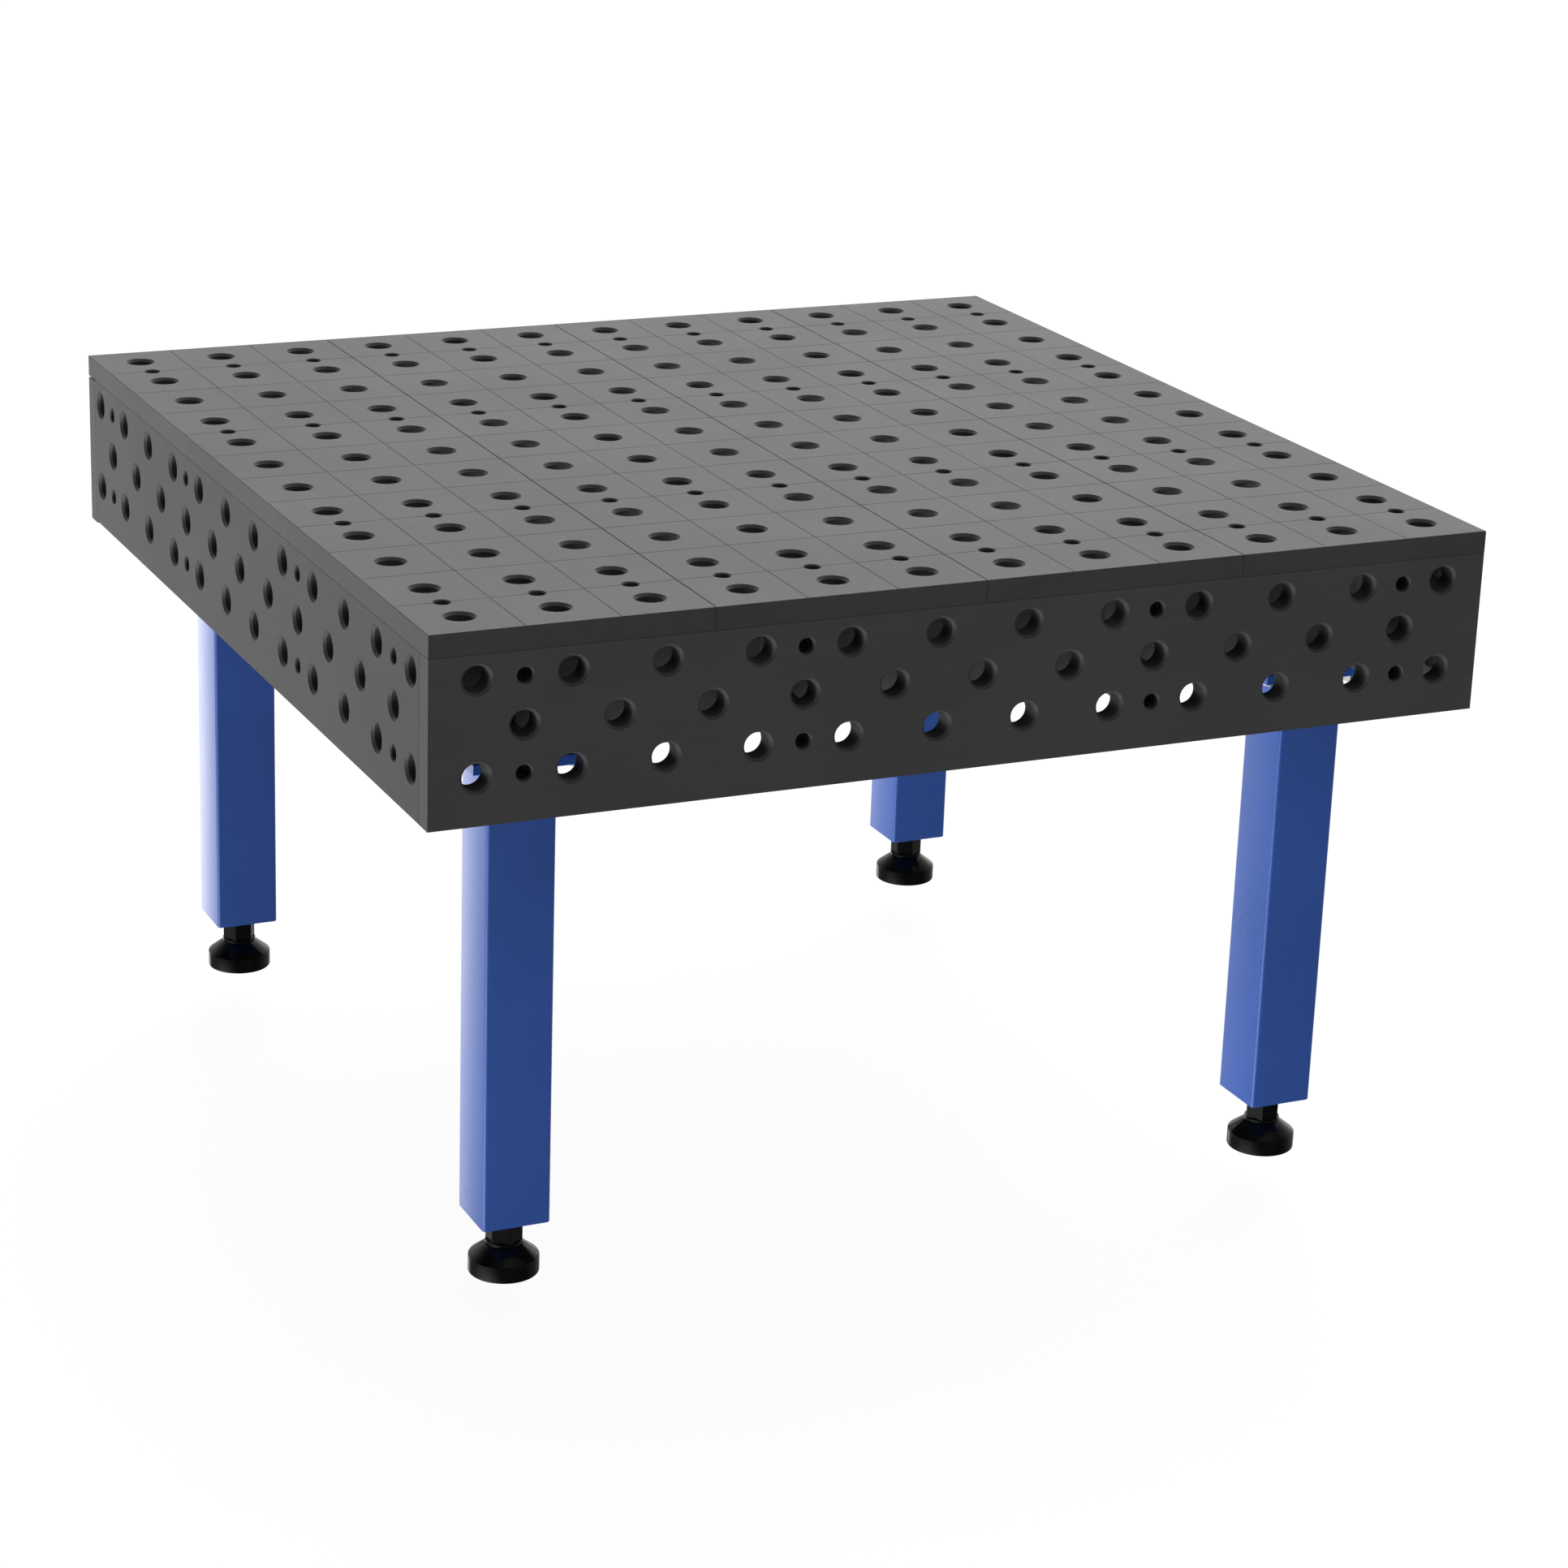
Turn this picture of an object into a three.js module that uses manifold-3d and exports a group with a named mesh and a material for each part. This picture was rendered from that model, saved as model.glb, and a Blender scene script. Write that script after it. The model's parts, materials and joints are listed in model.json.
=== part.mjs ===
// Welding table with a 28 mm hole grid, in millimetres, +Z up.
// The origin is on the floor under the middle of the table: +X along the front plate, -Y to the front.
import * as THREE from "three";
import { mergeVertices } from "three/addons/utils/BufferGeometryUtils.js";
import Module from "manifold-3d";

const wasm = await Module();
wasm.setup();

// Driving dimensions of the table box
const TABLE_SIDE = 1200;
const TABLE_HEIGHT = 753;
const BOX_DEPTH = 200;
const TOP_THICKNESS = 24;
const PLATE_THICKNESS = 25;
const TOP_PLATE_COUNT = 4;
const BACK_PLATE_DROP = 2;
const GAP = 0.3;

// Fixture holes on a 100 mm grid, and the smaller holes of the plate screws
const GRID_PITCH = 100;
const HOLE_RADIUS = 14;
const SCREW_HOLE_RADIUS = 8.3;
const HOLE_SIDES = 8;
const UPPER_ROW_DEPTH = 50;
const MIDDLE_ROW_DEPTH = 100;
const LOWER_ROW_DEPTH = 150;

// Ribs under the top: four each way, half-lapped, their lines shared with the screw holes
const RIB_LINES = [-500, -200, 200, 500];
const RIB_THICKNESS = 25;
const RIB_BOTTOM_DEPTH = 163;
const NOTCH_HEIGHT = 34;
const NOTCH_DEPTH = 30;
const RIB_END_GAP = 1.5; // between each end of a rib and the side plate in front of it

// Legs: square tube under a wider flange, with a threaded plate in the lower end
const LEG_SIDE = 75;
const LEG_WALL = 4;
const LEG_CORNER_RADIUS = 4;
const LEG_CENTRE = 462.5;
const LEG_BOTTOM = 64.6;
const FLANGE_THICKNESS = 12;
const FLANGE_INNER = 387;
const FLANGE_OUTER = 525;
const FLANGE_VENT_RADIUS = 20;
const END_PLATE_THICKNESS = 20;

// Bolts that hold each flange to the ribs: places in the corner where X and Y are positive
const BOLT_PLACES = [[500, 406], [406, 500], [500, 512.5]];
const BOLT_RADIUS = 6;
const BOLT_LENGTH = 40;
const BOLT_HEAD_ACROSS_FLATS = 18;
const BOLT_HEAD_HEIGHT = 7.5;
const BOLT_HOLE_CLEARANCE = 0.6;

// Feet: a spindle with a hexagon and a collar, turning in a round pad
const ROD_RADIUS = 12;
const ROD_LENGTH = 95;
const THREAD_CLEARANCE = 0.5;
const HEXAGON_ACROSS_FLATS = 34.5;
const COLLAR_RADIUS = 19.8;
const COLLAR_HEIGHT = 4;
const PIN_RADIUS = 10;
const PIN_BOTTOM = 5;
const PIN_CLEARANCE = 0.6;
const GROOVE_RADIUS = 8.6;
const RING_OUTER_RADIUS = 14.5;
const RING_THICKNESS = 3;
const PAD_RADIUS = 37.75;
const PAD_RIM_HEIGHT = 18.5;
const PAD_TOP_RADIUS = 20.3;
const PAD_HEIGHT = 32;
const PAD_FOOT_CHAMFER = 1;
const PAD_RECESS_RADIUS = 17;
const PAD_RECESS_HEIGHT = 12;
const ROUND_SIDES = 20;

// Heights and edges worked out from the dimensions above
const HALF = TABLE_SIDE / 2;
const UNDER_TOP = TABLE_HEIGHT - TOP_THICKNESS - GAP;
const BOX_BOTTOM = TABLE_HEIGHT - BOX_DEPTH;
const INSIDE = HALF - PLATE_THICKNESS - GAP;
const RIB_BOTTOM = TABLE_HEIGHT - RIB_BOTTOM_DEPTH;
const FLANGE_TOP = RIB_BOTTOM - GAP;
const FLANGE_BOTTOM = FLANGE_TOP - FLANGE_THICKNESS;
const HEXAGON_TOP = LEG_BOTTOM - GAP;

const steel = new THREE.MeshStandardMaterial({ color: 0x8a8a88, roughness: 0.42, metalness: 0.9 });
const ribSteel = new THREE.MeshStandardMaterial({ color: 0x6e6e6c, roughness: 0.55, metalness: 0.85 });
const bluePaint = new THREE.MeshStandardMaterial({ color: 0x3f5fae, roughness: 0.45, metalness: 0.0 });
const zincSteel = new THREE.MeshStandardMaterial({ color: 0xa9a9a6, roughness: 0.35, metalness: 0.9 });
const blackSteel = new THREE.MeshStandardMaterial({ color: 0x1a1a1a, roughness: 0.3, metalness: 0.6 });
const blackPlastic = new THREE.MeshStandardMaterial({ color: 0x121212, roughness: 0.25, metalness: 0.0 });

const table = new THREE.Group();

function addMesh(name, geometry, material) {
  const mesh = new THREE.Mesh(geometry, material);
  mesh.name = name;
  table.add(mesh);
  return mesh;
}

// Circumradius of a regular polygon whose flats touch a circle
function aroundCircle(radius, sides) {
  return radius / Math.cos(Math.PI / sides);
}

function polygonPoints(x, y, radius, sides) {
  return Array.from({ length: sides }, (_, i) => {
    const angle = ((i + 0.5) / sides) * 2 * Math.PI;
    return new THREE.Vector2(x + radius * Math.cos(angle), y + radius * Math.sin(angle));
  });
}

function rectanglePoints(left, bottom, right, top) {
  return [
    new THREE.Vector2(left, bottom),
    new THREE.Vector2(right, bottom),
    new THREE.Vector2(right, top),
    new THREE.Vector2(left, top),
  ];
}

// A flat outline with holes, extruded along +Z from z = 0
function slab(outline, holes, thickness) {
  const shape = new THREE.Shape(outline);
  shape.holes = holes.map((points) => new THREE.Path(points));
  return new THREE.ExtrudeGeometry(shape, { depth: thickness, bevelEnabled: false });
}

function gridHole(x, y) {
  return polygonPoints(x, y, aroundCircle(HOLE_RADIUS, HOLE_SIDES), HOLE_SIDES);
}

function screwHole(x, y) {
  return polygonPoints(x, y, aroundCircle(SCREW_HOLE_RADIUS, HOLE_SIDES), HOLE_SIDES);
}

// Places from -limit to +limit, one grid pitch apart
function gridPlaces(limit) {
  const count = Math.round((2 * limit) / GRID_PITCH) + 1;
  return Array.from({ length: count }, (_, i) => i * GRID_PITCH - limit);
}

function solidFrom(geometry) {
  const bare = geometry.clone();
  bare.deleteAttribute("normal");
  bare.deleteAttribute("uv");
  const merged = mergeVertices(bare, 1e-3);
  return new wasm.Manifold(
    new wasm.Mesh({
      numProp: 3,
      vertProperties: merged.attributes.position.array,
      triVerts: new Uint32Array(merged.index.array),
    }),
  );
}

function geometryFrom(solid) {
  const mesh = solid.getMesh();
  const geometry = new THREE.BufferGeometry();
  geometry.setAttribute("position", new THREE.BufferAttribute(mesh.vertProperties, 3));
  geometry.setIndex(new THREE.BufferAttribute(mesh.triVerts, 1));
  return geometry.toNonIndexed();
}

// A prism or cylinder standing on z = bottom
function column(radius, sides, bottom, height, x = 0, y = 0) {
  return new THREE.CylinderGeometry(radius, radius, height, sides)
    .rotateX(Math.PI / 2)
    .translate(x, y, bottom + height / 2);
}

// ---- Top: four plates side by side ----

function topPlate(index) {
  const width = TABLE_SIDE / TOP_PLATE_COUNT;
  const left = index * width - HALF + (index > 0 ? GAP : 0);
  const right = (index + 1) * width - HALF - (index < TOP_PLATE_COUNT - 1 ? GAP : 0);
  const columns = gridPlaces(HALF - 50).filter((x) => x > left && x < right);
  const holes = columns.flatMap((x) => [
    ...gridPlaces(HALF - 50).map((y) => gridHole(x, y)),
    ...RIB_LINES.map((y) => screwHole(x, y)),
  ]);
  return slab(rectanglePoints(left, -HALF, right, HALF), holes, TOP_THICKNESS);
}

for (let i = 0; i < TOP_PLATE_COUNT; i++) {
  const plate = addMesh("top_plate_" + (i + 1), topPlate(i), steel);
  plate.position.z = TABLE_HEIGHT - TOP_THICKNESS;
}

// ---- Sides: the front and back plates run the full width, the left and right ones fit between ----

// Drawn flat, with the distance along the side as x and the height above the floor as y
function sidePlate(halfLength) {
  const holes = [UPPER_ROW_DEPTH, LOWER_ROW_DEPTH].flatMap((depth) => [
    ...gridPlaces(HALF - 50).map((x) => gridHole(x, TABLE_HEIGHT - depth)),
    ...RIB_LINES.map((x) => screwHole(x, TABLE_HEIGHT - depth)),
  ]);
  gridPlaces(HALF - 100).forEach((x) => holes.push(gridHole(x, TABLE_HEIGHT - MIDDLE_ROW_DEPTH)));
  const outline = rectanglePoints(-halfLength, BOX_BOTTOM, halfLength, UNDER_TOP);
  return slab(outline, holes, PLATE_THICKNESS).rotateX(Math.PI / 2);
}

addMesh("front_plate", sidePlate(HALF), steel).position.y = PLATE_THICKNESS - HALF;
const backPlate = addMesh("back_plate", sidePlate(HALF), steel);
backPlate.position.set(0, HALF, -BACK_PLATE_DROP);
const leftPlate = addMesh("left_plate", sidePlate(INSIDE), steel);
leftPlate.rotation.z = Math.PI / 2;
leftPlate.position.x = -HALF;
const rightPlate = addMesh("right_plate", sidePlate(INSIDE), steel);
rightPlate.rotation.z = Math.PI / 2;
rightPlate.position.x = HALF - PLATE_THICKNESS;

// ---- Ribs ----

const ribMiddle = (RIB_BOTTOM + UNDER_TOP - GAP) / 2;

// The outline of a rib, with a half-lap slot at each crossing and a notch behind each middle-row hole.
// slotsFromTop says whether the slots open upwards or downwards.
function ribOutline(slotsFromTop) {
  const slotHalf = RIB_THICKNESS / 2 + GAP;
  const notchMiddle = TABLE_HEIGHT - MIDDLE_ROW_DEPTH;
  const top = UNDER_TOP - GAP;
  const slotted = slotsFromTop ? top : RIB_BOTTOM;
  const plain = slotsFromTop ? RIB_BOTTOM : top;
  const slotEnd = slotsFromTop ? ribMiddle - GAP / 2 : ribMiddle + GAP / 2;
  const end = HALF - PLATE_THICKNESS - RIB_END_GAP;
  const points = [[-end, slotted]];
  RIB_LINES.forEach((x) => {
    points.push([x - slotHalf, slotted], [x - slotHalf, slotEnd]);
    points.push([x + slotHalf, slotEnd], [x + slotHalf, slotted]);
  });
  points.push([end, slotted]);
  const near = notchMiddle + (slotsFromTop ? 1 : -1) * (NOTCH_HEIGHT / 2);
  const far = notchMiddle - (slotsFromTop ? 1 : -1) * (NOTCH_HEIGHT / 2);
  points.push([end, near], [end - NOTCH_DEPTH, near], [end - NOTCH_DEPTH, far], [end, far]);
  points.push([end, plain], [-end, plain]);
  points.push([-end, far], [-end + NOTCH_DEPTH, far], [-end + NOTCH_DEPTH, near], [-end, near]);
  return points.map(([x, z]) => new THREE.Vector2(x, z));
}

const corners = [
  { name: "front_left", sx: -1, sy: -1 },
  { name: "front_right", sx: 1, sy: -1 },
  { name: "back_left", sx: -1, sy: 1 },
  { name: "back_right", sx: 1, sy: 1 },
];

// Every flange bolt as a place, in all four corners
const boltPlaces = corners.flatMap(({ sx, sy }) => BOLT_PLACES.map(([x, y]) => [sx * x, sy * y]));

// Cuts the blind bolt holes that fall in a rib, given its extent on the floor plan
function drillRib(geometry, isInRib) {
  const radius = BOLT_RADIUS + BOLT_HOLE_CLEARANCE;
  let solid = solidFrom(geometry);
  boltPlaces.filter(isInRib).forEach(([x, y]) => {
    solid = solid.subtract(solidFrom(column(radius, HOLE_SIDES, FLANGE_BOTTOM, BOLT_LENGTH + 2, x, y)));
  });
  return geometryFrom(solid);
}

RIB_LINES.forEach((line, i) => {
  const crossRib = slab(ribOutline(false), [], RIB_THICKNESS)
    .rotateX(Math.PI / 2)
    .translate(0, line + RIB_THICKNESS / 2, 0);
  const inCrossRib = ([x, y]) => Math.abs(y - line) < 1 && Math.abs(x) < 450;
  addMesh("cross_rib_" + (i + 1), drillRib(crossRib, inCrossRib), ribSteel);

  const longRib = slab(ribOutline(true), [], RIB_THICKNESS)
    .rotateX(Math.PI / 2)
    .rotateZ(Math.PI / 2)
    .translate(line - RIB_THICKNESS / 2, 0, 0);
  const inLongRib = ([x]) => Math.abs(x - line) < 1;
  addMesh("long_rib_" + (i + 1), drillRib(longRib, inLongRib), ribSteel);
});

// ---- Legs ----

function roundedSquare(side, radius) {
  const inner = side / 2 - radius;
  const cornerSteps = 3;
  const points = [];
  for (let corner = 0; corner < 4; corner++) {
    for (let step = 0; step <= cornerSteps; step++) {
      const angle = ((corner + step / cornerSteps) * Math.PI) / 2;
      const cx = inner * (corner === 0 || corner === 3 ? 1 : -1);
      const cy = inner * (corner < 2 ? 1 : -1);
      points.push(new THREE.Vector2(cx + radius * Math.cos(angle), cy + radius * Math.sin(angle)));
    }
  }
  return points;
}

function legTube() {
  const outside = roundedSquare(LEG_SIDE, LEG_CORNER_RADIUS);
  const inside = roundedSquare(LEG_SIDE - 2 * LEG_WALL, LEG_CORNER_RADIUS / 2);
  return slab(outside, [inside], FLANGE_BOTTOM - GAP - LEG_BOTTOM).translate(0, 0, LEG_BOTTOM);
}

function endPlate() {
  const half = LEG_SIDE / 2 - LEG_WALL - GAP - 1;
  const bore = polygonPoints(0, 0, aroundCircle(ROD_RADIUS + THREAD_CLEARANCE, ROUND_SIDES), ROUND_SIDES);
  const outline = rectanglePoints(-half, -half, half, half);
  return slab(outline, [bore], END_PLATE_THICKNESS).translate(0, 0, LEG_BOTTOM);
}

function legFlange(sx, sy) {
  const xs = [sx * FLANGE_INNER, sx * FLANGE_OUTER].sort((a, b) => a - b);
  const ys = [sy * FLANGE_INNER, sy * FLANGE_OUTER].sort((a, b) => a - b);
  const boltHoleRadius = BOLT_RADIUS + BOLT_HOLE_CLEARANCE;
  const holes = BOLT_PLACES.map(([x, y]) => polygonPoints(sx * x, sy * y, boltHoleRadius, HOLE_SIDES));
  holes.push(polygonPoints(sx * LEG_CENTRE, sy * LEG_CENTRE, FLANGE_VENT_RADIUS, ROUND_SIDES));
  const outline = rectanglePoints(xs[0], ys[0], xs[1], ys[1]);
  return slab(outline, holes, FLANGE_THICKNESS).translate(0, 0, FLANGE_BOTTOM);
}

function flangeBolt(x, y) {
  const headRadius = aroundCircle(BOLT_HEAD_ACROSS_FLATS / 2, 6);
  const headTop = FLANGE_BOTTOM - GAP;
  const head = solidFrom(column(headRadius, 6, headTop - BOLT_HEAD_HEIGHT, BOLT_HEAD_HEIGHT, x, y));
  const shank = solidFrom(column(BOLT_RADIUS, HOLE_SIDES, headTop - 1, BOLT_LENGTH, x, y));
  return geometryFrom(head.add(shank));
}

// ---- Feet ----

function lathe(profile) {
  const points = profile.map(([radius, z]) => new THREE.Vector2(radius, z));
  return new THREE.LatheGeometry(points, ROUND_SIDES).rotateX(Math.PI / 2);
}

const ringTop = PAD_RECESS_HEIGHT - GAP;
const ringBottom = ringTop - RING_THICKNESS;
const collarBottom = PAD_HEIGHT + GAP;
const collarTop = collarBottom + COLLAR_HEIGHT;

function footSpindle() {
  const pinAndCollar = lathe([
    [0, PIN_BOTTOM],
    [PIN_RADIUS, PIN_BOTTOM],
    [PIN_RADIUS, ringBottom - GAP],
    [GROOVE_RADIUS, ringBottom - GAP],
    [GROOVE_RADIUS, ringTop + GAP],
    [PIN_RADIUS, ringTop + GAP],
    [PIN_RADIUS, collarBottom],
    [COLLAR_RADIUS, collarBottom],
    [COLLAR_RADIUS, collarTop],
    [0, collarTop],
  ]);
  const hexagonRadius = aroundCircle(HEXAGON_ACROSS_FLATS / 2, 6);
  const hexagon = column(hexagonRadius, 6, collarTop - 1, HEXAGON_TOP - collarTop + 1);
  const rod = column(ROD_RADIUS, ROUND_SIDES, HEXAGON_TOP - 1, ROD_LENGTH);
  return geometryFrom(solidFrom(pinAndCollar).add(solidFrom(hexagon)).add(solidFrom(rod)));
}

function footRing() {
  return lathe([
    [GROOVE_RADIUS + GAP, ringBottom],
    [RING_OUTER_RADIUS, ringBottom],
    [RING_OUTER_RADIUS, ringTop],
    [GROOVE_RADIUS + GAP, ringTop],
    [GROOVE_RADIUS + GAP, ringBottom],
  ]);
}

function footPad() {
  const boreRadius = PIN_RADIUS + PIN_CLEARANCE;
  return lathe([
    [PAD_RECESS_RADIUS, 0],
    [PAD_RADIUS - PAD_FOOT_CHAMFER, 0],
    [PAD_RADIUS, PAD_FOOT_CHAMFER],
    [PAD_RADIUS, PAD_RIM_HEIGHT],
    [PAD_TOP_RADIUS, PAD_HEIGHT],
    [boreRadius, PAD_HEIGHT],
    [boreRadius, PAD_RECESS_HEIGHT],
    [PAD_RECESS_RADIUS, PAD_RECESS_HEIGHT],
    [PAD_RECESS_RADIUS, 0],
  ]);
}

corners.forEach(({ name, sx, sy }) => {
  const standing = [
    addMesh("leg_tube_" + name, legTube(), bluePaint),
    addMesh("leg_end_plate_" + name, endPlate(), bluePaint),
    addMesh("foot_spindle_" + name, footSpindle(), blackSteel),
    addMesh("foot_ring_" + name, footRing(), zincSteel),
    addMesh("foot_pad_" + name, footPad(), blackPlastic),
  ];
  standing.forEach((mesh) => {
    mesh.position.set(sx * LEG_CENTRE, sy * LEG_CENTRE, 0);
    mesh.rotation.z = sx * sy < 0 ? Math.PI / 2 : 0; // each leg is turned a quarter from its neighbours
  });
  addMesh("leg_flange_" + name, legFlange(sx, sy), bluePaint);
  BOLT_PLACES.forEach(([x, y], i) => {
    addMesh("leg_bolt_" + name + "_" + (i + 1), flangeBolt(sx * x, sy * y), zincSteel);
  });
});

export default table;
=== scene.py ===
"""Looks of the welding table: drilled steel box on four painted legs with levelling feet."""

import json
import math

import bmesh
import bpy
from mathutils import Matrix, Vector
from mathutils.geometry import tessellate_polygon


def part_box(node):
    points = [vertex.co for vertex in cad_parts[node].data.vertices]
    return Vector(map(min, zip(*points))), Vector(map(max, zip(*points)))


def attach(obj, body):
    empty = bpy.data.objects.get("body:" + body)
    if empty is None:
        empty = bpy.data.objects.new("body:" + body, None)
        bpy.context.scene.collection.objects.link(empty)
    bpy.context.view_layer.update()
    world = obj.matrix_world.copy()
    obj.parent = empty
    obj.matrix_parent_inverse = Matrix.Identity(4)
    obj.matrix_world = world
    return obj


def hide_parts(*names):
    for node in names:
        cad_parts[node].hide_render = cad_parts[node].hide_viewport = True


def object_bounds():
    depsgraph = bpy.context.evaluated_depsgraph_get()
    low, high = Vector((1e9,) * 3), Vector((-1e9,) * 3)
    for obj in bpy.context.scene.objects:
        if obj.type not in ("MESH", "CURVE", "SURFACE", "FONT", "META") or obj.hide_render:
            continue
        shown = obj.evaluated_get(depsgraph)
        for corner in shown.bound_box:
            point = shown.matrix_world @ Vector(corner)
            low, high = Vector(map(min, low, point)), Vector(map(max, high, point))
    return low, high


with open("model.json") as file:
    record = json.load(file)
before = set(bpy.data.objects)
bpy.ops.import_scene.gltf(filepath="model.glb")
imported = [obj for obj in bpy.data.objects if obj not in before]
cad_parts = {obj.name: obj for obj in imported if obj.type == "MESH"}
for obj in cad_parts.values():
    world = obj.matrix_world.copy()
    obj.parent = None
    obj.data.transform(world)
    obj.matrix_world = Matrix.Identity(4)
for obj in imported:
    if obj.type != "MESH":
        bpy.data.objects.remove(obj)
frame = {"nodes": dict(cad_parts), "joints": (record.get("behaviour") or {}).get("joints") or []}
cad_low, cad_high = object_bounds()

MM = 0.001
X, Y, Z = Vector((1, 0, 0)), Vector((0, 1, 0)), Vector((0, 0, 1))
CORNERS = {
    "front_left": (-1, -1),
    "front_right": (1, -1),
    "back_left": (-1, 1),
    "back_right": (1, 1),
}

# ---- Camera: the view of the photograph ----
CAMERA_PLACE = Vector((-1.8778, -4.1249, 1.9136))
CAMERA_AZIMUTH = math.radians(25.188)
CAMERA_ELEVATION = math.radians(19.166)
CAMERA_ROLL = math.radians(2.013)
CAMERA_LENS = 94.13
CAMERA_SENSOR = 36


def make_camera():
    data = bpy.data.cameras.new("camera")
    data.lens = CAMERA_LENS
    data.sensor_width = CAMERA_SENSOR
    data.clip_end = 200
    camera = bpy.data.objects.new("camera", data)
    bpy.context.scene.collection.objects.link(camera)
    flat = Vector((math.sin(CAMERA_AZIMUTH), math.cos(CAMERA_AZIMUTH), 0))
    forward = flat * math.cos(CAMERA_ELEVATION) - Z * math.sin(CAMERA_ELEVATION)
    level_right = forward.cross(Z).normalized()
    level_up = level_right.cross(forward)
    right = level_right * math.cos(CAMERA_ROLL) + level_up * math.sin(CAMERA_ROLL)
    up = right.cross(forward)
    turn = Matrix((right, up, -forward)).transposed().to_4x4()
    camera.matrix_world = Matrix.Translation(CAMERA_PLACE) @ turn
    bpy.context.scene.camera = camera


# ---- Drilling pattern and plate details ----
GRID_PITCH = 100 * MM
EDGE_MARGIN = 50 * MM
BOX_DEPTH = 200 * MM
RIB_LINES = [-500 * MM, -200 * MM, 200 * MM, 500 * MM]
UPPER_ROW_DEPTH = 50 * MM
MIDDLE_ROW_DEPTH = 100 * MM
LOWER_ROW_DEPTH = 150 * MM
HOLE_RADIUS = 14 * MM
HOLE_CHAMFER = 3.0 * MM
HOLE_BACK_CHAMFER = 0.8 * MM
HOLE_SEGMENTS = 48
SCREW_HOLE_RADIUS = 8.3 * MM
SCREW_HOLE_CHAMFER = 1.3 * MM
SCREW_SEAT_DEPTH = 18 * MM
SCREW_BORE_RADIUS = 5.6 * MM
SCREW_SEGMENTS = 36
TOP_PLATE_BEVELS = (0.5 * MM, 0.12 * MM)
SIDE_PLATE_BEVELS = (0.12 * MM, 0.4 * MM)
GROOVE_HALF_WIDTH = 0.6 * MM
GROOVE_DEPTH = 0.4 * MM
SHARP_ANGLE = math.radians(25)

# Socket head cap screws, M10
SCREW_HEAD_TOP_DEPTH = 8 * MM
SCREW_HEAD_RADIUS = 8 * MM
SCREW_HEAD_CHAMFER = 1.0 * MM
SCREW_SOCKET_FLATS = 8 * MM
SCREW_SOCKET_DEPTH = 5 * MM
SCREW_SOCKET_LEAD = 0.5 * MM
SCREW_SOCKET_CONE = 1.2 * MM
SCREW_SHANK_RADIUS = 5 * MM
SCREW_SHANK_FILLET = 0.6 * MM
SCREW_TIP_CHAMFER = 0.8 * MM
SCREW_TIP_PROUD = 0.2 * MM
SCREW_UNDERCUT = 0.3 * MM
SCREW_TURN_STEP = math.radians(37)

# ---- Materials ----


def grey(level):
    return (level, level, level)


def new_material(name, **sockets):
    """A material whose Principled shader has these plain values, with its nodes ready for more."""
    material = bpy.data.materials.new(name)
    material.use_nodes = True
    shader = material.node_tree.nodes["Principled BSDF"]
    for socket, value in sockets.items():
        shader.inputs[socket.replace("_", " ")].default_value = value
    return material, material.node_tree, shader


def noise(tree, scale, detail=2.0, roughness=0.5, distortion=0.0):
    """Noise in the object's own metres. Scale is one number, or three to stretch it."""
    place = tree.nodes.new("ShaderNodeTexCoord")
    mapping = tree.nodes.new("ShaderNodeMapping")
    mapping.inputs["Scale"].default_value = (scale,) * 3 if isinstance(scale, (int, float)) else scale
    tree.links.new(place.outputs["Object"], mapping.inputs["Vector"])
    texture = tree.nodes.new("ShaderNodeTexNoise")
    texture.inputs["Scale"].default_value = 1.0
    texture.inputs["Detail"].default_value = detail
    texture.inputs["Roughness"].default_value = roughness
    texture.inputs["Distortion"].default_value = distortion
    tree.links.new(mapping.outputs["Vector"], texture.inputs["Vector"])
    return texture.outputs["Fac"]


def spread(tree, fac, low, high, start=0.3, end=0.7):
    """Maps a noise from start..end to low..high."""
    node = tree.nodes.new("ShaderNodeMapRange")
    node.inputs["From Min"].default_value = start
    node.inputs["From Max"].default_value = end
    node.inputs["To Min"].default_value = low
    node.inputs["To Max"].default_value = high
    tree.links.new(fac, node.inputs["Value"])
    return node.outputs["Result"]


def combine(tree, operation, a, b):
    """A Math node on two numbers or outputs."""
    node = tree.nodes.new("ShaderNodeMath")
    node.operation = operation
    for socket, value in zip(node.inputs, (a, b)):
        if isinstance(value, (int, float)):
            socket.default_value = value
        else:
            tree.links.new(value, socket)
    return node.outputs["Value"]


def blend_colour(tree, fac, first, second):
    """Between two colours, each an (r, g, b) or an output, by fac."""
    node = tree.nodes.new("ShaderNodeMix")
    node.data_type = "RGBA"
    tree.links.new(fac, node.inputs["Factor"])
    for socket, colour in ((node.inputs[6], first), (node.inputs[7], second)):
        if isinstance(colour, tuple):
            socket.default_value = (*colour, 1)
        else:
            tree.links.new(colour, socket)
    return node.outputs[2]


def add_bump(tree, shader, height, distance, strength=1.0):
    node = tree.nodes.new("ShaderNodeBump")
    node.inputs["Strength"].default_value = strength
    node.inputs["Distance"].default_value = distance
    tree.links.new(height, node.inputs["Height"])
    tree.links.new(node.outputs["Normal"], shader.inputs["Normal"])


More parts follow.
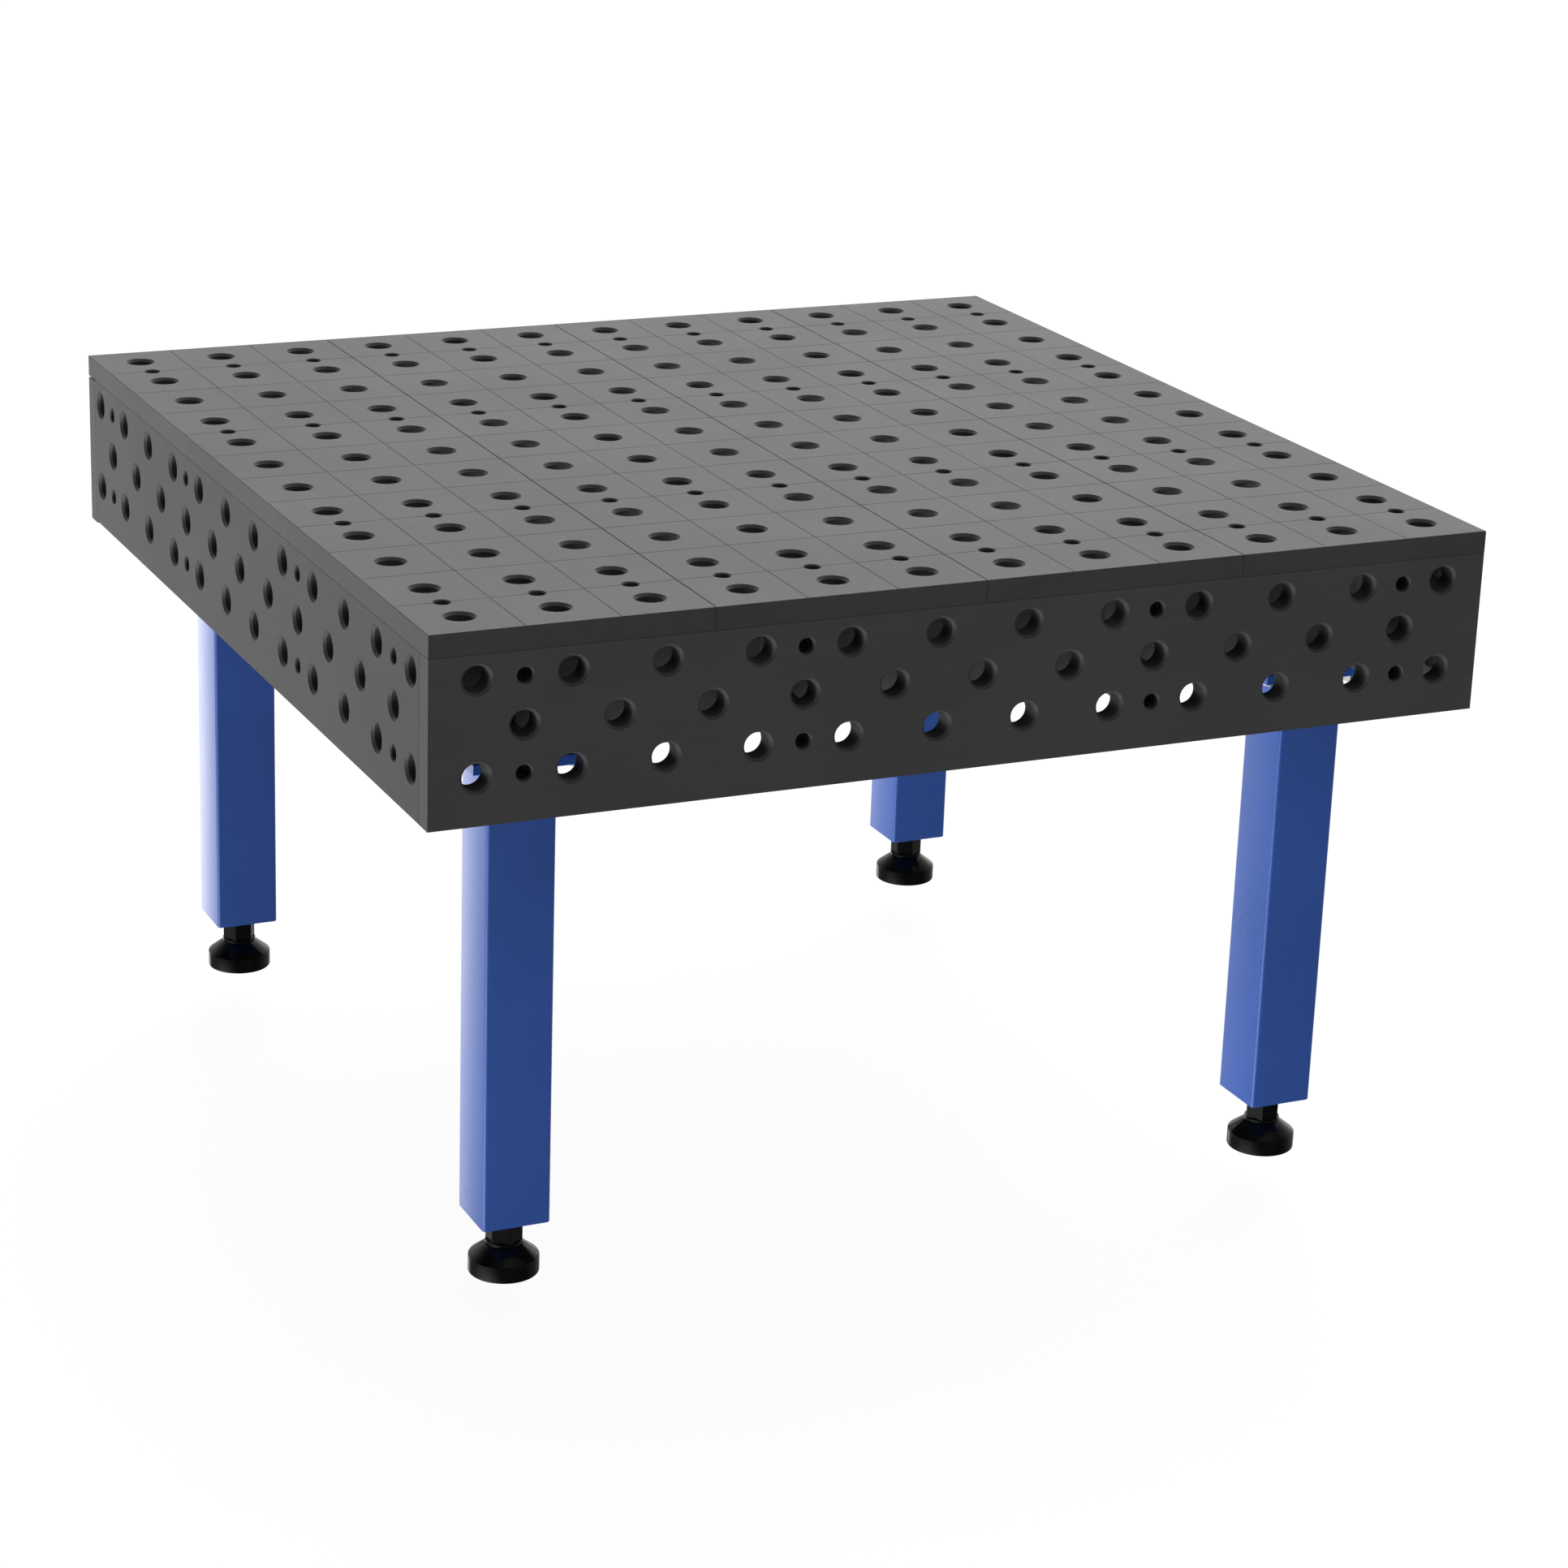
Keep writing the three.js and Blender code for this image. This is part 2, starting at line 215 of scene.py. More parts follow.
def ground_steel(name, dark, light, along):
    """Surface-ground dark steel between two grey levels: cloudy, with fine streaks along one axis."""
    material, tree, shader = new_material(name, Metallic=0.05, Specular_IOR_Level=0.08)
    streak_scale = [900, 900, 900]
    streak_scale[along] = 14
    broad_scale = [160, 160, 160]
    broad_scale[along] = 3
    streaks = noise(tree, tuple(streak_scale), 3.0, 0.6)
    bands = noise(tree, tuple(broad_scale), 2.0)
    clouds = noise(tree, 5.0, 4.0, 0.55, 0.3)
    specks = noise(tree, 1400.0, 1.0)
    tone = combine(tree, "ADD", spread(tree, clouds, 0.32, 0.68), spread(tree, streaks, -0.14, 0.14))
    tone = combine(tree, "ADD", tone, spread(tree, bands, -0.06, 0.06))
    tone = combine(tree, "ADD", tone, spread(tree, specks, -0.14, 0.14))
    tree.links.new(blend_colour(tree, tone, grey(dark), grey(light)), shader.inputs["Base Color"])
    gloss = combine(tree, "ADD", spread(tree, streaks, 0.42, 0.48), spread(tree, clouds, -0.02, 0.03))
    tree.links.new(gloss, shader.inputs["Roughness"])
    add_bump(tree, shader, combine(tree, "ADD", streaks, specks), 0.02 * MM, 0.6)
    return material


def engraved_steel():
    """The scorched floor of an engraved line."""
    material, tree, shader = new_material("engraved_line", Metallic=0.5)
    grain = noise(tree, 700.0, 3.0, 0.6)
    tree.links.new(blend_colour(tree, grain, (0.035, 0.036, 0.038), (0.06, 0.061, 0.064)),
                   shader.inputs["Base Color"])
    tree.links.new(spread(tree, grain, 0.55, 0.75), shader.inputs["Roughness"])
    return material


def scaled_steel():
    """Hot-rolled plate: blue-grey mill scale with browner patches and pits."""
    material, tree, shader = new_material("rolled_scale", Metallic=0.55)
    clouds = noise(tree, 9.0, 6.0, 0.6, 0.6)
    patches = noise(tree, 34.0, 5.0, 0.65, 1.2)
    pits = noise(tree, 420.0, 3.0, 0.7)
    scale = blend_colour(tree, spread(tree, clouds, 0.0, 1.0), (0.100, 0.105, 0.115), (0.170, 0.175, 0.185))
    colour = blend_colour(tree, spread(tree, patches, 0.0, 0.55, 0.52, 0.75), scale, (0.150, 0.130, 0.115))
    tree.links.new(colour, shader.inputs["Base Color"])
    tree.links.new(spread(tree, patches, 0.42, 0.66), shader.inputs["Roughness"])
    add_bump(tree, shader, combine(tree, "ADD", pits, patches), 0.08 * MM, 0.7)
    return material


def cut_steel():
    """Flame-cut edge: fine drag lines through the thickness."""
    material, tree, shader = new_material("cut_edge", Metallic=0.7)
    drag = noise(tree, (420, 420, 36), 3.0, 0.6)
    clouds = noise(tree, 20.0, 4.0)
    tone = combine(tree, "ADD", spread(tree, drag, 0.1, 0.8), spread(tree, clouds, -0.2, 0.2))
    tree.links.new(blend_colour(tree, tone, (0.12, 0.118, 0.115), (0.24, 0.235, 0.23)),
                   shader.inputs["Base Color"])
    tree.links.new(spread(tree, drag, 0.38, 0.6), shader.inputs["Roughness"])
    add_bump(tree, shader, drag, 0.12 * MM, 0.7)
    return material


def blue_paint():
    """Powder coat: fine orange peel, slow changes of gloss, a little dust."""
    material, tree, shader = new_material("blue_paint", IOR=1.5, Coat_Weight=0.75, Coat_Roughness=0.18)
    peel = noise(tree, 620.0, 2.0, 0.45)
    fine = noise(tree, 1500.0, 1.0)
    clouds = noise(tree, 7.0, 3.0)
    dust = noise(tree, 60.0, 6.0, 0.7)
    colour = blend_colour(tree, spread(tree, clouds, 0.0, 1.0), (0.025, 0.112, 0.50), (0.032, 0.128, 0.57))
    colour = blend_colour(tree, spread(tree, dust, 0.0, 0.025, 0.5, 0.8), colour, (0.30, 0.32, 0.36))
    tree.links.new(colour, shader.inputs["Base Color"])
    gloss = combine(tree, "ADD", spread(tree, clouds, 0.26, 0.34), spread(tree, peel, -0.03, 0.03))
    tree.links.new(gloss, shader.inputs["Roughness"])
    add_bump(tree, shader, combine(tree, "ADD", peel, combine(tree, "MULTIPLY", fine, 0.4)), 0.05 * MM, 0.35)
    return material


def black_finish(name, dark, light, roughness, metallic, peel_depth):
    """Black plastic or blackened steel between two grey levels, with faint flow and handling marks."""
    material, tree, shader = new_material(name, Metallic=metallic, IOR=1.5, Specular_IOR_Level=0.10)
    marks = noise(tree, (90, 90, 260), 4.0, 0.6, 0.5)
    grain = noise(tree, 1100.0, 2.0)
    tree.links.new(blend_colour(tree, marks, grey(dark), grey(light)), shader.inputs["Base Color"])
    gloss = combine(tree, "ADD", spread(tree, marks, *roughness), spread(tree, grain, -0.02, 0.02))
    tree.links.new(gloss, shader.inputs["Roughness"])
    add_bump(tree, shader, combine(tree, "ADD", marks, grain), peel_depth, 0.5)
    return material


def plated_steel(name, dark, light, roughness):
    """Zinc-plated or bright fastener steel with soft clouding."""
    material, tree, shader = new_material(name, Metallic=0.9)
    clouds = noise(tree, 120.0, 5.0, 0.6, 0.8)
    grain = noise(tree, 1300.0, 2.0)
    tone = combine(tree, "ADD", spread(tree, clouds, 0.1, 0.9), spread(tree, grain, -0.1, 0.1))
    tree.links.new(blend_colour(tree, tone, dark, light), shader.inputs["Base Color"])
    tree.links.new(spread(tree, clouds, *roughness), shader.inputs["Roughness"])
    add_bump(tree, shader, grain, 0.02 * MM, 0.5)
    return material


# ---- Mesh tools ----


def plane_frame(u, v, origin):
    """Local u, v and outward w = u x v, with its zero at origin."""
    return Matrix.Translation(origin) @ Matrix((u, v, u.cross(v))).transposed().to_4x4()


def bridge(bm, lower, upper, material=0):
    """Quads between two closed rings of the same number of points."""
    for i in range(len(lower)):
        j = (i + 1) % len(lower)
        bm.faces.new((lower[i], lower[j], upper[j], upper[i])).material_index = material


def ring(bm, segments, point_at, place):
    """A closed ring of vertices, where point_at(angle) gives (radius, height)."""
    made = []
    for i in range(segments):
        angle = 2 * math.pi * i / segments
        radius, height = point_at(angle)
        local = Vector((radius * math.cos(angle), radius * math.sin(angle), height))
        made.append(bm.verts.new(place @ local))
    return made


def round_ring(radius, height):
    return lambda angle: (radius, height)


def hexagon_radius(angle, flats, turn=0.0):
    """Distance from the axis to a hexagon's side, with a side facing angle = turn."""
    sector = math.radians(60)
    within = (angle - turn + sector / 2) % sector - sector / 2
    return flats / 2 / math.cos(within)


def add_rings(bm, rings, segments, place, closed=False):
    """A turned solid from its rings in order, capped at both ends unless the profile closes on itself."""
    loops = [ring(bm, segments, point_at, place) for point_at in rings]
    for lower, upper in zip(loops, loops[1:]):
        bridge(bm, lower, upper)
    if closed:
        bridge(bm, loops[-1], loops[0])
    else:
        bm.faces.new(loops[0])
        bm.faces.new(loops[-1])


def softened(corners, radius, steps=3, closed=False):
    """The outline with each corner rounded by an arc-like curve that starts radius away from it."""
    points = [Vector(c) for c in corners]
    count = len(points)
    made = []
    for i, corner in enumerate(points):
        if not closed and i in (0, count - 1):
            made.append(corner)
            continue
        before, after = points[i - 1] - corner, points[(i + 1) % count] - corner
        reach = min(radius, before.length / 2, after.length / 2)
        start, end = corner + before.normalized() * reach, corner + after.normalized() * reach
        for step in range(steps + 1):
            t = step / steps
            made.append(start.lerp(corner, t).lerp(corner.lerp(end, t), t))
    return made


def to_piece(bm, name, materials, body, replaced=()):
    """Turns the bmesh into a smooth-shaded piece with sharp edges kept, riding on its body."""
    bmesh.ops.recalc_face_normals(bm, faces=bm.faces)
    mesh = bpy.data.meshes.new(name)
    bm.to_mesh(mesh)
    bm.free()
    mesh.shade_smooth()
    mesh.set_sharp_from_angle(angle=SHARP_ANGLE)
    piece = bpy.data.objects.new(name, mesh)
    bpy.context.scene.collection.objects.link(piece)
    for material in materials:
        mesh.materials.append(material)
    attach(piece, body)
    if replaced:
        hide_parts(*replaced)
    return piece


# ---- Drilled plates ----
FACE, GROOVE, CHAMFER = 0, 1, 2


def fill_between(bm, outline, holes, material):
    """Flat faces between an outline ring and hole rings in one plane."""
    rings = [outline, *holes]
    vertices = [v for loop in rings for v in loop]
    for triangle in tessellate_polygon([[v.co for v in loop] for loop in rings]):
        bm.faces.new([vertices[i] for i in triangle]).material_index = material


def rectangle_ring(bm, half_u, half_v, w):
    return [bm.verts.new((su * half_u, sv * half_v, w)) for su, sv in ((-1, -1), (1, -1), (1, 1), (-1, 1))]


def cut_groove(bm, axis, place):
    """Cuts the visible face along both edges and the middle of a groove, and gives the faces between the
    edges the groove material.
    """
    normal = X if axis == 0 else Y
    for offset in (-GROOVE_HALF_WIDTH, 0, GROOVE_HALF_WIDTH):
        faces = [f for f in bm.faces if f.material_index in (FACE, GROOVE) and f.normal.z > 0.5]
        parts = {*faces, *(e for f in faces for e in f.edges), *(v for f in faces for v in f.verts)}
        cut_point = normal * (place + offset)
        bmesh.ops.bisect_plane(bm, geom=list(parts), dist=1e-7, plane_co=cut_point, plane_no=normal)
    for face in bm.faces:
        if face.normal.z > 0.5 and abs(face.calc_center_median()[axis] - place) < GROOVE_HALF_WIDTH:
            if face.material_index == FACE:
                face.material_index = GROOVE


def drilled_plate(width, height, thickness, holes, bevels, grooves=()):
    """A plate with its visible face at w = 0, and bevels (round the face, round the back).
    A hole is (u, v, segments, [(radius, w), ...]) from face to back."""
    bm = bmesh.new()
    half_u, half_v = width / 2, height / 2
    bevel, back_bevel = bevels
    edges = [
        rectangle_ring(bm, half_u - bevel, half_v - bevel, 0),
        rectangle_ring(bm, half_u, half_v, -bevel),
        rectangle_ring(bm, half_u, half_v, back_bevel - thickness),
        rectangle_ring(bm, half_u - back_bevel, half_v - back_bevel, -thickness),
    ]
    for outer, inner in zip(edges, edges[1:]):
        bridge(bm, outer, inner, CHAMFER)
    bores = []
    for u, v, segments, profile in holes:
        place = Matrix.Translation((u, v, 0))
        loops = [ring(bm, segments, round_ring(radius, w), place) for radius, w in profile]
        for outer, inner in zip(loops, loops[1:]):
            bridge(bm, outer, inner, CHAMFER)
        bores.append(loops)
    fill_between(bm, edges[0], [loops[0] for loops in bores], FACE)
    fill_between(bm, edges[-1], [loops[-1] for loops in bores], FACE)
    bmesh.ops.recalc_face_normals(bm, faces=bm.faces)
    for axis, place in grooves:
        cut_groove(bm, axis, place)
    for vertex in bm.verts:
        if abs(vertex.co.z) < 1e-6 and any(abs(vertex.co[axis] - place) < 1e-6 for axis, place in grooves):
            vertex.co.z = -GROOVE_DEPTH
    return bm


def places(limit):
    """Grid places from -limit to limit."""
    count = round(2 * limit / GRID_PITCH) + 1
    return [i * GRID_PITCH - limit for i in range(count)]


def grid_hole(u, v, thickness):
    profile = [
        (HOLE_RADIUS + HOLE_CHAMFER, 0),
        (HOLE_RADIUS, -HOLE_CHAMFER),
        (HOLE_RADIUS, HOLE_BACK_CHAMFER - thickness),
        (HOLE_RADIUS + HOLE_BACK_CHAMFER, -thickness),
    ]
    return (u, v, HOLE_SEGMENTS, profile)


def screw_hole(u, v, thickness):
    profile = [
        (SCREW_HOLE_RADIUS + SCREW_HOLE_CHAMFER, 0),
        (SCREW_HOLE_RADIUS, -SCREW_HOLE_CHAMFER),
        (SCREW_HOLE_RADIUS, -SCREW_SEAT_DEPTH),
        (SCREW_BORE_RADIUS, -SCREW_SEAT_DEPTH),
        (SCREW_BORE_RADIUS, -thickness),
    ]
    return (u, v, SCREW_SEGMENTS, profile)


def add_socket_screw(bm, place, turn, plate_thickness):
    """A cap screw along local -w, its hexagon socket turned by turn."""
    top, under = -SCREW_HEAD_TOP_DEPTH, -SCREW_SEAT_DEPTH
    bottom = top - SCREW_SOCKET_DEPTH
    rim = SCREW_SOCKET_FLATS * 0.62  # just outside the socket's corners
    tip = -plate_thickness - SCREW_TIP_PROUD

    def socket(height, shrink=1.0):
        return lambda angle: (shrink * hexagon_radius(angle, SCREW_SOCKET_FLATS, turn), height)

    rings = [
        round_ring(SCREW_SHANK_RADIUS - SCREW_TIP_CHAMFER, tip),
        round_ring(SCREW_SHANK_RADIUS, tip + SCREW_TIP_CHAMFER),
        round_ring(SCREW_SHANK_RADIUS, under - SCREW_SHANK_FILLET),
        round_ring(SCREW_SHANK_RADIUS + SCREW_SHANK_FILLET, under),
        round_ring(SCREW_HEAD_RADIUS - SCREW_UNDERCUT, under),
        round_ring(SCREW_HEAD_RADIUS, under + SCREW_UNDERCUT),
        round_ring(SCREW_HEAD_RADIUS, top - SCREW_HEAD_CHAMFER),
        round_ring(SCREW_HEAD_RADIUS - SCREW_HEAD_CHAMFER, top),
        round_ring(rim, top),
        socket(top - SCREW_SOCKET_LEAD),
        socket(bottom),
        socket(bottom - SCREW_SOCKET_CONE, 0.25),
    ]
    add_rings(bm, rings, SCREW_SEGMENTS, place)


def plate_piece(node, u, v, holes, screws, grooves, bevels, materials):
    """One plate and its screws, from the CAD node's box. Holes and screws are (u, v) from its centre."""
    low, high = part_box(node)
    size, centre = high - low, (low + high) / 2
    outward = u.cross(v)
    width, height, thickness = (abs(size.dot(d)) for d in (u, v, outward))
    frame_matrix = plane_frame(u, v, centre + outward * thickness / 2)
    drilled = [grid_hole(*h, thickness) for h in holes] + [screw_hole(*s, thickness) for s in screws]
    bm = drilled_plate(width, height, thickness, drilled, bevels, grooves)
    bmesh.ops.transform(bm, matrix=frame_matrix, verts=bm.verts)
    to_piece(bm, node + "_machined", materials, "table", [node])
    bm = bmesh.new()
    for i, (su, sv) in enumerate(screws):
        add_socket_screw(bm, frame_matrix @ Matrix.Translation((su, sv, 0)), i * SCREW_TURN_STEP, thickness)
    to_piece(bm, node + "_screws", [screw_steel], "table")


def make_top_plates():
    for index in range(1, 5):
        node = f"top_plate_{index}"
        low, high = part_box(node)
        middle = (low.x + high.x) / 2
        reach = cad_high.x - EDGE_MARGIN
        columns = [x for x in places(reach) if low.x < x < high.x]
        holes = [(x - middle, y) for x in columns for y in places(reach)]
        screws = [(x - middle, y) for x in columns for y in RIB_LINES]
        lines = [x for x in places(cad_high.x) if low.x + EDGE_MARGIN < x < high.x - EDGE_MARGIN]
        grooves = [(0, x - middle) for x in lines]
        grooves += [(1, y) for y in places(cad_high.x - GRID_PITCH)]
        plate_piece(node, X, Y, holes, screws, grooves, TOP_PLATE_BEVELS, [top_steel, engraving, edge_steel])


def make_side_plates():
    sides = {
        "front_plate": (X, side_steel_x),
        "back_plate": (-X, side_steel_x),
        # the left and right plates take the darker steel copy, which is painted shade
        "left_plate": (-Y, shaded_side_steel_y),
        "right_plate": (Y, shaded_side_steel_y),
    }
    for node, (u, steel) in sides.items():
        low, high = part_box(node)
        middle = (low.z + high.z) / 2
        bottom = low.z
        row_z = {depth: bottom + BOX_DEPTH - depth - middle
                 for depth in (UPPER_ROW_DEPTH, MIDDLE_ROW_DEPTH, LOWER_ROW_DEPTH)}
        reach = cad_high.x - EDGE_MARGIN
        holes = [(x, row_z[depth]) for depth in (UPPER_ROW_DEPTH, LOWER_ROW_DEPTH) for x in places(reach)]
        holes += [(x, row_z[MIDDLE_ROW_DEPTH]) for x in places(reach - EDGE_MARGIN)]
        screws = [(x, row_z[depth]) for depth in (UPPER_ROW_DEPTH, LOWER_ROW_DEPTH) for x in RIB_LINES]
        plate_piece(node, u, Z, holes, screws, [], SIDE_PLATE_BEVELS, [steel, engraving, edge_steel])


# ---- Ribs ----
RIB_BEVEL = 0.8 * MM
RIB_SHARP_ANGLE = math.radians(40)
FLAT_ANGLE = math.radians(1)


def make_ribs():
    """Each rib is its CAD shape with merged flats, broken edges, rolled faces and cut edges."""
    for direction, thickness_axis in (("cross", 1), ("long", 0)):
        for index in range(1, 5):
            node = f"{direction}_rib_{index}"
            bm = bmesh.new()
            bm.from_mesh(frame["nodes"][node].data)
            bmesh.ops.remove_doubles(bm, verts=bm.verts, dist=0.01 * MM)
            bmesh.ops.dissolve_limit(bm, angle_limit=FLAT_ANGLE, verts=bm.verts, edges=bm.edges)
            sharp = [e for e in bm.edges if e.is_manifold and e.calc_face_angle() > RIB_SHARP_ANGLE]
            bmesh.ops.bevel(bm, geom=sharp, offset=RIB_BEVEL, segments=2, profile=0.5, affect="EDGES")
            for face in bm.faces:
                face.material_index = 0 if abs(face.normal[thickness_axis]) > 0.9 else 1
            to_piece(bm, node + "_cut", [rolled_steel, edge_cut_steel], "table", [node])


# ---- Weld beads ----
BEAD_STEP = 0.9 * MM
BEAD_RIPPLE_PITCH = 3.2 * MM
BEAD_RIPPLE_SHARE = 0.07
BEAD_SECTION = 8


def resample(points, step, closed):
    """Points along the polyline, evenly spaced about step apart."""
    chain = points + [points[0]] if closed else points
    lengths = [(b - a).length for a, b in zip(chain, chain[1:])]
    total = sum(lengths)
    count = max(3, round(total / step))
    wanted = [total * i / count for i in range(count if closed else count + 1)]
    made = []
    k, passed = 0, 0.0
    for distance in wanted:
        while k < len(lengths) - 1 and passed + lengths[k] < distance:
            passed += lengths[k]
            k += 1
        made.append(chain[k].lerp(chain[k + 1], (distance - passed) / lengths[k]))
    return made


def add_weld_bead(bm, points, radius, closed):
    """A rippled bead along a path: overlapping ripples that lean back at the sides."""
    path = resample(points, BEAD_STEP, closed)
    count = len(path)
    loops = []
    for i, centre in enumerate(path):
        before = path[i - 1] if closed or i else centre
        after = path[(i + 1) % count] if closed or i < count - 1 else centre
        tangent = (after - before).normalized()
        side = tangent.cross(Z).normalized() if abs(tangent.z) < 0.9 else tangent.cross(X).normalized()
        other = tangent.cross(side)
        loop = []
        taper = 1.0 if closed else min(1.0, 0.35 + 0.25 * min(i, count - 1 - i))
        for k in range(BEAD_SECTION):
            angle = 2 * math.pi * k / BEAD_SECTION
            phase = 2 * math.pi * (i * BEAD_STEP / BEAD_RIPPLE_PITCH) + 0.8 * math.cos(2 * angle)
            swell = radius * taper * (1 - BEAD_RIPPLE_SHARE + BEAD_RIPPLE_SHARE * math.cos(phase))
            loop.append(bm.verts.new(centre + (side * math.cos(angle) + other * math.sin(angle)) * swell))
        loops.append(loop)
    for lower, upper in zip(loops, loops[1:]):
        bridge(bm, lower, upper)
    if closed:
        bridge(bm, loops[-1], loops[0])
    else:
        bm.faces.new(loops[0])
        bm.faces.new(loops[-1])


# ---- Legs ----
LEG_CORNER_RADIUS = 4 * MM
LEG_CORNER_STEPS = 8
LEG_WALL = 4 * MM
LEG_END_BEVEL = 0.5 * MM
FLANGE_BEVELS = (1.0 * MM, 1.0 * MM)
FLANGE_BOLT_RADIUS = 6.6 * MM
FLANGE_VENT_RADIUS = 20 * MM
FLANGE_HOLE_BEVEL = 0.4 * MM
FLANGE_BOLTS = [(500 * MM, 406 * MM), (406 * MM, 500 * MM), (500 * MM, 512.5 * MM)]
FLANGE_BEAD_RADIUS = 4.5 * MM
END_PLATE_SINK = 1.5 * MM
END_BORE_RADIUS = 12.5 * MM
END_BORE_CHAMFER = 1.2 * MM
END_BEAD_RADIUS = 1.4 * MM
END_BEAD_OFFSET = 0.6 * MM


def rounded_square(half, radius, z, centre, steps=LEG_CORNER_STEPS):
    """Points round a square with rounded corners."""
    points = []
    for quarter in range(4):
        cx = (half - radius) * (1 if quarter in (0, 3) else -1)
        cy = (half - radius) * (1 if quarter < 2 else -1)
        for step in range(steps + 1):
            angle = (quarter + step / steps) * math.pi / 2
            points.append(Vector((cx + radius * math.cos(angle), cy + radius * math.sin(angle), z)) + centre)
    return points


def make_leg_tube(name):
    node = "leg_tube_" + name
    low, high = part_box(node)
    centre = Vector(((low.x + high.x) / 2, (low.y + high.y) / 2, 0))
    half, inner = (high.x - low.x) / 2, (high.x - low.x) / 2 - LEG_WALL
    outside, inside = LEG_CORNER_RADIUS, LEG_CORNER_RADIUS / 2
    bevel = LEG_END_BEVEL
    bm = bmesh.new()
    outlines = [
        (half, outside, low.z + bevel),
        (half, outside, high.z - bevel),
        (half - bevel, outside, high.z),
        (inner + bevel, inside, high.z),
        (inner, inside, high.z - bevel),
        (inner, inside, low.z + bevel),
        (inner + bevel, inside, low.z),
        (half - bevel, outside, low.z),
    ]
    loops = [[bm.verts.new(p) for p in rounded_square(h, r, z, centre)] for h, r, z in outlines]
    for lower, upper in zip(loops, loops[1:] + loops[:1]):
        bridge(bm, lower, upper)
    to_piece(bm, node + "_painted", [paint], "table", [node])
    bm = bmesh.new()
    add_weld_bead(bm, rounded_square(half, outside, high.z, centre), FLANGE_BEAD_RADIUS, True)
    to_piece(bm, "leg_weld_" + name, [paint], "table")


def make_leg_flange(name, sx, sy):
    node = "leg_flange_" + name
    low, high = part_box(node)
    size, centre = high - low, (low + high) / 2
    tube_low, tube_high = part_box("leg_tube_" + name)
    tube = (tube_low + tube_high) / 2
    rim = FLANGE_HOLE_BEVEL
    places_radii = [(sx * x, sy * y, FLANGE_BOLT_RADIUS) for x, y in FLANGE_BOLTS]
    places_radii.append((tube.x, tube.y, FLANGE_VENT_RADIUS))
    holes = [
        (x - centre.x, y - centre.y, SCREW_SEGMENTS,
         [(radius + rim, 0), (radius, -rim), (radius, rim - size.z), (radius + rim, -size.z)])
        for x, y, radius in places_radii
    ]
    bm = drilled_plate(size.x, size.y, size.z, holes, FLANGE_BEVELS)
    for face in bm.faces:
        face.material_index = 0
    bmesh.ops.transform(bm, matrix=plane_frame(X, Y, centre + Z * size.z / 2), verts=bm.verts)
    to_piece(bm, node + "_painted", [paint], "table", [node])


def make_leg_end_plate(name):
    node = "leg_end_plate_" + name
    low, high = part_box(node)
    size, centre = high - low, (low + high) / 2
    thickness = size.z - END_PLATE_SINK
    bore = [
        (END_BORE_RADIUS, 0),
        (END_BORE_RADIUS, END_BORE_CHAMFER - thickness),
        (END_BORE_RADIUS + END_BORE_CHAMFER, -thickness),
    ]
    bm = drilled_plate(size.x, size.y, thickness, [(0, 0, SCREW_SEGMENTS, bore)], FLANGE_BEVELS)
    for face in bm.faces:
        face.material_index = 0
    bmesh.ops.transform(bm, matrix=plane_frame(X, Y, centre + Z * size.z / 2), verts=bm.verts)
    half = size.x / 2 + END_BEAD_OFFSET
    bead_z = low.z + END_PLATE_SINK
    bead_path = rounded_square(half, LEG_CORNER_RADIUS / 2, bead_z, Vector((centre.x, centre.y, 0)))
    add_weld_bead(bm, bead_path, END_BEAD_RADIUS, True)
    to_piece(bm, node + "_welded", [paint], "table", [node])


BOLT_FLATS = 18 * MM
BOLT_SHANK_RADIUS = 6 * MM
BOLT_HEAD_HEIGHT = 7.5 * MM
BOLT_CHAMFER_ANGLE = math.radians(30)
BOLT_WASHER_FACE = 0.5 * MM
BOLT_FACE_RADIUS = 0.47 * BOLT_FLATS
BOLT_TIP_CHAMFER = 1.2 * MM


def make_flange_bolt(node):
    """A hexagon bolt with its head hanging under the flange."""
    low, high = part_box(node)
    centre = Vector(((low.x + high.x) / 2, (low.y + high.y) / 2, 0))
    under = low.z + BOLT_HEAD_HEIGHT
    slope = math.tan(BOLT_CHAMFER_ANGLE)
    turn = math.radians(90)

    def chamfered(angle):
        radius = hexagon_radius(angle, BOLT_FLATS, turn)
        return (radius, low.z + (radius - BOLT_FACE_RADIUS) * slope)

    def hexagon(height):
        return lambda angle: (hexagon_radius(angle, BOLT_FLATS, turn), height)

    rings = [
        round_ring(BOLT_FACE_RADIUS, low.z),
        chamfered,
        hexagon(under - BOLT_WASHER_FACE),
        round_ring(BOLT_FACE_RADIUS, under - BOLT_WASHER_FACE),
        round_ring(BOLT_FACE_RADIUS, under),
        round_ring(BOLT_SHANK_RADIUS, under),
        round_ring(BOLT_SHANK_RADIUS, high.z - BOLT_TIP_CHAMFER),
        round_ring(BOLT_SHANK_RADIUS - BOLT_TIP_CHAMFER, high.z),
    ]
    bm = bmesh.new()
    add_rings(bm, rings, SCREW_SEGMENTS, Matrix.Translation(centre))
    to_piece(bm, node + "_plated", [zinc], "table", [node])


